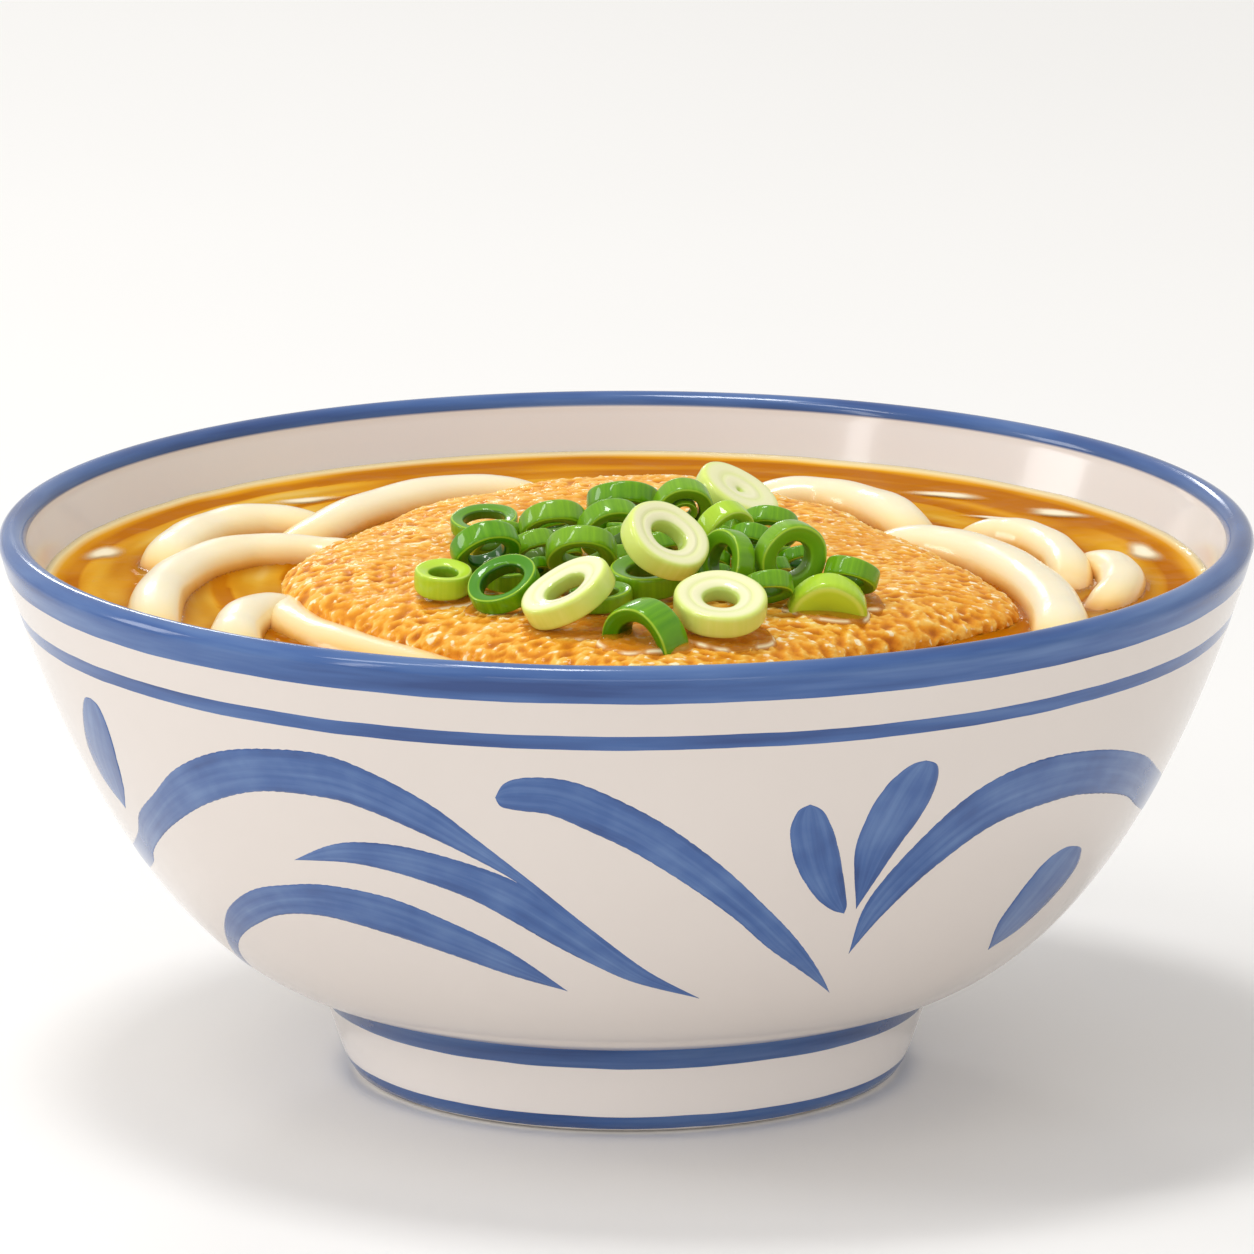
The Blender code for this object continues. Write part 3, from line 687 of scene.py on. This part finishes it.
sides = [(r * math.sin(a), -r * math.cos(a), z) for r, z in side_rows for a in surface_angles]
broth_points = [*surface, *sides]
broth_faces = fanned_faces(
    broth_points, BROTH_RINGS + SIDE_ROWS, BROTH_TURNS, BROTH_LEVEL - MIDDLE_DROP, BROTH_FLOOR)
broth_faces = [tuple(reversed(face)) for face in broth_faces]

broth_clear = new_material("dashi_broth", Roughness=0.04, IOR=1.33, Specular_IOR_Level=0.005)
broth_edge = new_material("dashi_broth_edge", Roughness=0.03, IOR=1.33, Specular_IOR_Level=0.12,
                          Specular_Tint=(1.0, 0.88, 0.62, 1))
for liquid in (broth_clear, broth_edge):
    depth = from_mesh(liquid, "depth")
    swirl = sums(liquid, "MULTIPLY", from_mesh(liquid, "swirl"), STREAK_SHARE)
    steeped_and_shaded = ramp(liquid, sums(liquid, "ADD", depth, swirl), (
        (0.0, colour(246, 206, 108)), (0.15, colour(238, 186, 66)), (0.35, colour(228, 166, 38)),
        (0.6, colour(214, 144, 20)), (1.0, colour(184, 108, 4)),
    ))
    # Painted shade: darker amber close to the noodles and tofu.
    contact_shade = sums(liquid, "MULTIPLY", from_mesh(liquid, "contact_shade"), CONTACT_SHADE_SHARE)
    steeped_and_shaded = mixed(liquid, contact_shade, steeped_and_shaded, colour(164, 88, 4))
    # Painted highlight: a pale line along the meniscus at the wall.
    shore_highlight = number_ramp(liquid, from_mesh(liquid, "shore_highlight"), ((0.12, 0), (0.5, 0.9)))
    paint(liquid, "Base Color", mixed(liquid, shore_highlight, steeped_and_shaded, colour(252, 232, 176)))
    paint(liquid, "Alpha", number_ramp(liquid, depth, (
        (0.0, 0.30), (0.05, 0.55), (0.15, 0.8), (0.4, 0.94), (1.0, 1))))
    relief(liquid, grain(liquid, place_on(liquid), WAVE_SIZE, 2), WAVE_DEPTH)
hidden = len(broth_points) - len(depths)
broth = add_piece("broth_pool", broth_points, broth_faces, broth_clear,
                  {"depth": [*depths, *[1.0] * hidden], "shore_highlight": [*shore_highlights, *[0.0] * hidden],
                   "contact_shade": [*contact_shades, *[0.0] * hidden], "swirl": [*swirls, *[0.0] * hidden]})
broth.data.materials.append(broth_edge)
edge_level = BROTH_LEVEL - SURFACE_DROP + EDGE_HEIGHT
creeping = [v < len(surface) and surface[v][2] > edge_level for v in range(len(broth_points))]
lifted = np.array([len(face) == 4 and all(creeping[v] for v in face) for face in broth_faces])
broth.data.polygons.foreach_set("material_index", lifted.astype(np.int32))
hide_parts("broth")

# A little oil from the tofu floats on the broth in flat drops, painted near white in the middle as
# painted highlights.
# Each drop: (x, y) of its middle, half length, half width, degrees that it is turned.
OIL_DROPS = (
    ((-52.5, 58), 7.0, 2.6, 16), ((-83.8, 20), 3.2, 7.0, -12), ((52.5, 62), 7.4, 3.0, -18),
    ((60, 45), 6.0, 1.4, -18), ((70, 48.6), 7.4, 3.0, -22), ((83, 20.6), 3.6, 7.4, 12),
)
OIL_TURNS = 48
OIL_RINGS = 12
OIL_HEIGHT = 0.14
OIL_SUNK = 0.2
OIL_UNDER = 0.6
oil = new_material("oil_drop", Roughness=0.05, IOR=1.47, Specular_IOR_Level=0.5)
# Painted highlight: pale gold at the edge, near white in the middle.
paint(oil, "Base Color", mixed(oil, from_mesh(oil, "glint_centre"), colour(244, 200, 108), colour(255, 246, 212)))
paint(oil, "Alpha", sums(oil, "MULTIPLY", from_mesh(oil, "glint_centre"), 1.3, clamp=True))
for number, ((drop_x, drop_y), half_length, half_width, turn) in enumerate(OIL_DROPS):
    turn = math.radians(turn)
    drop, glint_centre = [], []
    for share in np.linspace(1, 0.06, OIL_RINGS):
        for a in np.arange(OIL_TURNS) * 2 * math.pi / OIL_TURNS:
            wavy = share * (1 + 0.16 * math.sin(2 * a + number) + 0.10 * math.sin(3 * a + 2 * number))
            along, across = half_length * wavy * math.cos(a), half_width * wavy * math.sin(a)
            x = drop_x + along * math.cos(turn) - across * math.sin(turn)
            y = drop_y + along * math.sin(turn) + across * math.cos(turn)
            drop.append((x, y, BROTH_LEVEL - OIL_SUNK + OIL_HEIGHT * (1 - share ** 2)))
            glint_centre.append((1 - share ** 2) ** 2)
    drop += [(x, y, BROTH_LEVEL - OIL_UNDER) for x, y, _ in drop[:OIL_TURNS]]
    base = OIL_RINGS * OIL_TURNS
    faces = grid_faces(OIL_RINGS, OIL_TURNS)
    faces += [(k, base + k, base + (k + 1) % OIL_TURNS, (k + 1) % OIL_TURNS) for k in range(OIL_TURNS)]
    faces += [tuple(range(base - OIL_TURNS, base)), tuple(range(base, base + OIL_TURNS))[::-1]]
    numbers = {"glint_centre": [*glint_centre, *[0.0] * OIL_TURNS]}
    add_piece(f"oil_drop_{number + 1}", drop, faces, oil, numbers)

# ---------------------------------------------------------------------------------------------------------
# Spring onion. Slices cut across the stalk: hollow rings of glossy leaf from its green end, paler ones from
# its middle, and thick layered white ones from near the root, dropped on the tofu in a heap.

RING_TURNS = 72
RING_SECTION = 32
CORNER = 0.42
DISHED = 0.34
OUT_OF_ROUND = (0.015, 0.008)
UNEVEN_CUT = 0.04
CLOSED_HOLE = 0.05
TONE_SPREAD = 0.22
LAYER_DEPTH = 0.3
VEINS_ROUND = 7.0
VEINS_ACROSS = 0.25
# The slice that a small ring lies in, then that ring's outer radius, hole and half thickness.
INNER_RING = ("onion_green_05", 2.15, 1.1, 1.3)
INNER_DROP = 0.4
# Slices cut open: middle, degrees leaned, direction of the lean, outer radius, hole, thickness, from and to.
SPLIT_SLICES = {
    "onion_green_split": ((2.9, -64.6, 84.3), 80, 50, 7.0, 4.0, 6.0, (86, 276)),
    "onion_pale_arch": ((31.2, -45.4, 84.6), 70, 92, 6.5, 0.9, 4.8, (92, 268)),
}
NUDGES = {"onion_green_14": (0.6, 2.6, 0.4)}


def onion_material(name, skin, skin_light, rim, flesh, inner, hollow, layers=0.0):
    """Leaf skin outside, wet flesh on the cut faces with a bright line at the skin, and a shaded hollow."""
    material = new_material(name, Roughness=0.35, Specular_IOR_Level=0.12,
                            Coat_Weight=0.6, Coat_Roughness=0.03)
    wall = from_mesh(material, "wall")
    cut = number_ramp(material, from_mesh(material, "cut"), ((0.86, 0), (0.95, 1)))
    veins = add_node(material, "CombineXYZ", {
        "X": sums(material, "MULTIPLY", from_mesh(material, "round"), VEINS_ROUND),
        "Y": sums(material, "MULTIPLY", from_mesh(material, "cut"), VEINS_ACROSS),
    })
    streaked = number_ramp(material, grain(material, veins.outputs[0], 1.0, 2), ((0.25, 0.15), (0.8, 0.75)))
    side = mixed(material, streaked, skin, skin_light)
    side = mixed(material, number_ramp(material, wall, ((0.25, 0), (0.5, 1))), hollow, side)
    face = ramp(material, wall, ((0.0, inner), (0.3, flesh), (0.78, flesh), (0.92, rim), (1.0, rim)))
    whole = mixed(material, cut, side, face)
    layer = number_ramp(material, wall, ((0.36, 0), (0.48, 1), (0.62, 0.3)))
    layered = sums(material, "MULTIPLY", layer, cut)
    tone = sums(material, "MULTIPLY_ADD", layered, layers, from_mesh(material, "tone"))
    paint(material, "Base Color", mixed(material, tone, whole, rim))
    relief(material, layer, LAYER_DEPTH * layers)
    return material


green_leaf = onion_material(
    "onion_green", skin=colour(52, 124, 0), skin_light=colour(128, 190, 0), rim=colour(198, 230, 60),
    flesh=colour(66, 138, 0), inner=colour(100, 166, 0), hollow=colour(28, 88, 0))
pale_leaf = onion_material(
    "onion_pale", skin=colour(164, 208, 34), skin_light=colour(194, 226, 62), rim=colour(224, 242, 120),
    flesh=colour(186, 222, 52), inner=colour(206, 232, 92), hollow=colour(118, 168, 20))
white_stalk = onion_material(
    "onion_white", skin=colour(212, 232, 96), skin_light=colour(232, 242, 142), rim=colour(226, 238, 140),
    flesh=colour(246, 241, 204), inner=colour(230, 234, 176), hollow=colour(188, 208, 98), layers=0.5)
ONION_LOOKS = {"green": (green_leaf, "onion_green"), "pale": (pale_leaf, "onion_pale"),
               "white": (white_stalk, "onion_white")}


def leaned(lean, towards):
    """The axis of a slice that leans by lean from upright, towards a direction on the table, in radians."""
    return np.array((math.sin(lean) * math.cos(towards), math.sin(lean) * math.sin(towards), math.cos(lean)))


def onion_slice(name, middle, axis, outer, hole, half, look, run=None):
    """One slice: a rounded wall carried round the stalk's axis, a little out of round as cut onion is."""
    material, slot = look
    whole = run is None
    level = np.cross((0, 0, 1.0), axis)
    level = level / np.linalg.norm(level) if np.linalg.norm(level) > 1e-6 else np.array((0, 1.0, 0))
    downhill = np.cross(level, axis)
    if whole:
        angle = np.arange(RING_TURNS) * 2 * math.pi / RING_TURNS
    else:
        angle = np.radians(np.linspace(*run, RING_TURNS))
    around = np.arange(RING_SECTION) * 2 * math.pi / RING_SECTION
    flat_r = np.sign(np.cos(around)) * np.abs(np.cos(around)) ** CORNER
    flat_z = np.sign(np.sin(around)) * np.abs(np.sin(around)) ** CORNER
    middle_radius, half_wall = (outer + hole) / 2, (outer - hole) / 2
    flat_z = flat_z * (1 - DISHED * ((1 - flat_r) / 2) ** 1.5)
    seed = chance.uniform(0, 2 * math.pi)
    oval, lobed = OUT_OF_ROUND
    out_of_round = 1 - oval * (1 + np.sin(2 * angle + seed)) - lobed * (1 + np.sin(5 * angle + seed * 3))
    radius = (middle_radius + half_wall * flat_r)[None] * out_of_round[:, None]
    axial = half * flat_z[None] * (1 - UNEVEN_CUT * (1 + np.sin(angle * 2 + seed * 2)))[:, None]
    outward = downhill * np.cos(angle)[:, None] + level * np.sin(angle)[:, None]
    points = np.array(middle) + outward[:, None] * radius[..., None] + axis * axial[..., None]
    if whole:
        last = (RING_TURNS - 1) * RING_SECTION
        faces = grid_faces(RING_TURNS, RING_SECTION)
        faces += [(last + k, last + (k + 1) % RING_SECTION, (k + 1) % RING_SECTION, k)
                  for k in range(RING_SECTION)]
    else:
        faces = capped_faces(RING_TURNS, RING_SECTION)
    numbers = {
        "wall": np.tile(0.5 + 0.5 * flat_r, RING_TURNS),
        "cut": np.tile(np.abs(np.sin(around)) ** CORNER, RING_TURNS),
        "round": np.repeat(np.sin(angle), RING_SECTION),
        "tone": np.full(RING_TURNS * RING_SECTION, chance.uniform(0.0, TONE_SPREAD)),
    }
    return add_piece(name, points.reshape(-1, 3), faces, material, numbers)


slices = {}
for node_name in sorted(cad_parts):
    if not node_name.startswith("onion_"):
        continue
    kind = node_name.split("_")[1]
    if node_name in SPLIT_SLICES:
        middle, lean, towards, outer, hole, thickness, run = SPLIT_SLICES[node_name]
        axis = leaned(math.radians(lean), math.radians(towards))
        half = thickness / 2
    else:
        corners = np.unique(np.round(points_of(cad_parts[node_name].data), 3), axis=0)
        middle = corners.mean(0)
        axis = np.linalg.svd(corners - middle, full_matrices=False)[2][2]
        axis = axis * np.sign(axis[2])
        along = (corners - middle) @ axis
        distance = np.linalg.norm(corners - middle - along[:, None] * axis, axis=1)
        outer, hole, half, run = distance.max(), distance.min(), np.abs(along).max(), None
        middle = middle + NUDGES.get(node_name, (0, 0, 0))
    hole = hole if hole > 1 else CLOSED_HOLE
    slice_name = "slice_" + node_name.removeprefix("onion_")
    piece = onion_slice(slice_name, middle, axis, outer, hole, half, ONION_LOOKS[kind], run)
    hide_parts(node_name)
    slices[node_name] = piece
    if node_name == INNER_RING[0]:
        slices["inner"] = onion_slice("slice_inner_ring", middle - axis * INNER_DROP, axis, *INNER_RING[1:],
                                      ONION_LOOKS["green"])

# Small bits of the same leaf fill the heap, wherever there is room between the slices.
BITS_X, BITS_Y = (-24, 30), (-46, 6)
BITS_MIDDLE = (3, -20)
BITS_REACH = 25
BIT_RADIUS, BIT_HALF = (2.4, 4.2), (1.0, 1.7)
BIT_LEAN, BIT_TOWARDS = (5, 40), (60, 130)
# Shares of a bit's radius: its hole, how far its edge stays off the tofu, and the room that it needs.
BIT_HOLE, BIT_LIFT, BIT_ROOM = 0.5, 0.8, 0.4
SMALL_BITS = 34
BIT_TRIES = 1500
SKY = 100
heap_trees = [tree_of([piece]) for piece in slices.values()]
tofu_tree = tree_of([tofu_sheet])
bits = 0
for _ in range(BIT_TRIES):
    x, y = chance.uniform(*BITS_X), chance.uniform(*BITS_Y)
    if math.hypot(x - BITS_MIDDLE[0], y - BITS_MIDDLE[1]) > BITS_REACH or bits == SMALL_BITS:
        continue
    outer = chance.uniform(*BIT_RADIUS)
    half = chance.uniform(*BIT_HALF)
    lean, towards = math.radians(chance.uniform(*BIT_LEAN)), math.radians(chance.uniform(*BIT_TOWARDS))
    axis = leaned(lean, towards)
    ground = tofu_tree.ray_cast(Vector((x, y, SKY)), DOWN)[0].z
    place = (x, y, ground + half * math.cos(lean) + outer * math.sin(lean) * BIT_LIFT)
    if min(tree.find_nearest(Vector(place))[3] for tree in heap_trees) < outer * BIT_ROOM:
        continue
    bit_name = f"slice_bit_{bits + 1:02}"
    bit = onion_slice(bit_name, place, axis, outer, outer * BIT_HOLE, half, ONION_LOOKS["green"])
    bit_tree = tree_of([bit])
    if any(bit_tree.overlap(other) for other in heap_trees):
        bpy.data.objects.remove(bit)
        continue
    heap_trees.append(bit_tree)
    bits += 1

# ---------------------------------------------------------------------------------------------------------
# Wet patches. The slices at the front of the heap are laid down onto the tofu. Broth that they carried clings
# round them in a thin golden film, which fills the tofu's dimples and ends in a raised rim, painted bright in
# broken dashes as a painted highlight.

WET_SLICES = ("onion_pale_01", "onion_green_15", "onion_green_17", "onion_white_02", "onion_white_03",
              "onion_green_split", "onion_pale_arch", "onion_green_14")
PATCH_TURNS = 64
PATCH_RINGS = 30
PATCH_PROUD = 0.6
PATCH_REACH = 1.3
PATCH_EDGE = 0.85
PATCH_TUCK = 0.9
PATCH_UNDER = 1.2
RIM_AT, RIM_WIDTH = 0.89, 0.028
RIM_DENSITY, FILM_DENSITY = 0.5, 0.45
GLISTEN_SIZE = 4
LOW_SHARE = 0.6
SINK = 0.15
MOST_DROP = 0.1

wet = new_material("dashi_film", Roughness=0.03, IOR=1.33, Specular_IOR_Level=0.12)
# Painted highlight: near white broken dashes along the film's rim.
glisten = number_ramp(wet, grain(wet, place_on(wet), GLISTEN_SIZE, 1), ((0.44, 0.1), (0.54, 1)))
painted_rim_glint = sums(wet, "MULTIPLY", from_mesh(wet, "rim"), glisten)
paint(wet, "Base Color", mixed(wet, painted_rim_glint, colour(222, 142, 28), colour(255, 246, 206)))
paint(wet, "Alpha", sums(wet, "MULTIPLY_ADD", painted_rim_glint, RIM_DENSITY, FILM_DENSITY))
smooth_tofu = tree_of([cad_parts["fried_tofu"]])
for node_name in WET_SLICES:
    mesh = slices[node_name].data
    touching = points_of(mesh)
    gaps = [hit[3] for hit in (tofu_tree.ray_cast(Vector(p), DOWN) for p in touching) if hit[3]]
    touching[:, 2] -= min(MOST_DROP, min(gaps)) + SINK
    mesh.vertices.foreach_set("co", (touching * MM).astype(np.float32).ravel())
    low = touching[touching[:, 2] < touching[:, 2].min() + LOW_SHARE * np.ptp(touching[:, 2])]
    centre = (low.min(0) + low.max(0)) / 2
    reach_x, reach_y = (low.max(0) - low.min(0))[:2] / 2 + PATCH_REACH
    top, under, rim_glint_shares = [], [], []
    for share in np.linspace(0.01, 1, PATCH_RINGS) ** 0.5:
        for a in np.arange(PATCH_TURNS) * 2 * math.pi / PATCH_TURNS:
            wavy = share * (1 + 0.06 * math.sin(3 * a + centre[0]) + 0.04 * math.sin(5 * a + centre[1]))
            x, y = centre[0] + reach_x * wavy * math.cos(a), centre[1] + reach_y * wavy * math.sin(a)
            hit = smooth_tofu.ray_cast(Vector((x, y, SKY)), DOWN)[0]
            ground = hit.z if hit else BROTH_LEVEL
            tucked = PATCH_TUCK * max(0.0, share - PATCH_EDGE) / (1 - PATCH_EDGE)
            top.append((x, y, ground + PATCH_PROUD * (1 - share ** 6) - tucked))
            under.append((x, y, ground - PATCH_UNDER))
            rim_glint_shares.append(math.exp(-((share - RIM_AT) / RIM_WIDTH) ** 2))
    rows = [top[i:i + PATCH_TURNS] for i in range(0, len(top), PATCH_TURNS)]
    rows += [under[i:i + PATCH_TURNS] for i in range(0, len(under), PATCH_TURNS)][::-1]
    faces = [tuple(reversed(face)) for face in capped_faces(len(rows), PATCH_TURNS)]
    add_piece("wet_patch_" + node_name.removeprefix("onion_"), sum(rows, []), faces, wet,
              {"rim": [*rim_glint_shares, *[0.0] * len(under)]})

# ---------------------------------------------------------------------------------------------------------
# Table, light and camera. A pale table in a bright even room. Soft lights hang overhead, one stands low in
# front of the bowl and a small one behind it, and two windows on the diner's left show in the glaze.

TABLE_SIZE = 6.0
MOTTLE_SIZE = 300
ROOM_TINT = (1.0, 0.985, 0.965, 1)
ROOM_STRENGTH = 0.66


def add_light(name, size, power, location, target):
    """A soft rectangular light, sized in metres, turned towards its target."""
    lamp = bpy.data.lights.new(name, "AREA")
    lamp.shape = "RECTANGLE"
    lamp.size, lamp.size_y = size
    lamp.energy = power
    piece = bpy.data.objects.new(name, lamp)
    piece.location = location
    piece.rotation_euler = (Vector(target) - Vector(location)).to_track_quat("-Z", "Y").to_euler()
    bpy.context.scene.collection.objects.link(piece)


table_look = new_material("pale_table", Roughness=0.6)
faint = grain(table_look, place_on(table_look), MOTTLE_SIZE)
paint(table_look, "Base Color", mixed(table_look, faint, colour(247, 246, 244), colour(243, 242, 240)))
table_mesh = bpy.data.meshes.new("table")
half = TABLE_SIZE / 2
table_corners = [(-half, -half, 0), (half, -half, 0), (half, half, 0), (-half, half, 0)]
table_mesh.from_pydata(table_corners, [], [(0, 1, 2, 3)])
table_mesh.materials.append(table_look)
table = bpy.data.objects.new("table", table_mesh)
bpy.context.scene.collection.objects.link(table)

world = bpy.data.worlds.new("room")
bpy.context.scene.world = world
world.use_nodes = True
room = world.node_tree.nodes["Background"]
room.inputs["Color"].default_value = ROOM_TINT
room.inputs["Strength"].default_value = ROOM_STRENGTH

add_light("overhead", (0.36, 0.36), 9.0, (-0.25, 0.1, 1.7), (0, 0, 0.05))
add_light("strip", (0.10, 0.7), 2.4, (-0.75, -0.35, 1.35), (0, 0, 0.05))
add_light("front_fill", (2.0, 0.5), 5.4, (0.0, -2.2, 0.4), (0, 0, 0.03))
add_light("behind", (0.30, 0.14), 1.5, (-0.3, 1.7, 0.75), (0, 0, 0.08))
add_light("window_near", (0.14, 0.8), 2.2, (-1.15, -0.95, 0.75), (0, 0, 0.05))
add_light("window_far", (0.40, 0.5), 3.4, (-1.45, 0.2, 0.6), (0, 0, 0.05))

FOCAL_LENGTH = 360
SENSOR_WIDTH = 36
VIEW_DISTANCE = 2.0
VIEW_HEIGHT = math.radians(14)
AIM_HEIGHT = 0.05
LOOK_UP = 0.1039
LOOK_RIGHT = 0.00006
lens = bpy.data.cameras.new("camera")
lens.lens = FOCAL_LENGTH
lens.sensor_width = SENSOR_WIDTH
lens.clip_end = 20
camera = bpy.data.objects.new("camera", lens)
camera.location = (
    0.0, -VIEW_DISTANCE * math.cos(VIEW_HEIGHT), AIM_HEIGHT + VIEW_DISTANCE * math.sin(VIEW_HEIGHT))
tilt_up = math.atan(LOOK_UP * SENSOR_WIDTH / FOCAL_LENGTH)
camera.rotation_euler = (math.pi / 2 - VIEW_HEIGHT + tilt_up, 0, -LOOK_RIGHT)
bpy.context.scene.collection.objects.link(camera)
bpy.context.scene.camera = camera
bpy.context.scene.view_settings.view_transform = "Standard"
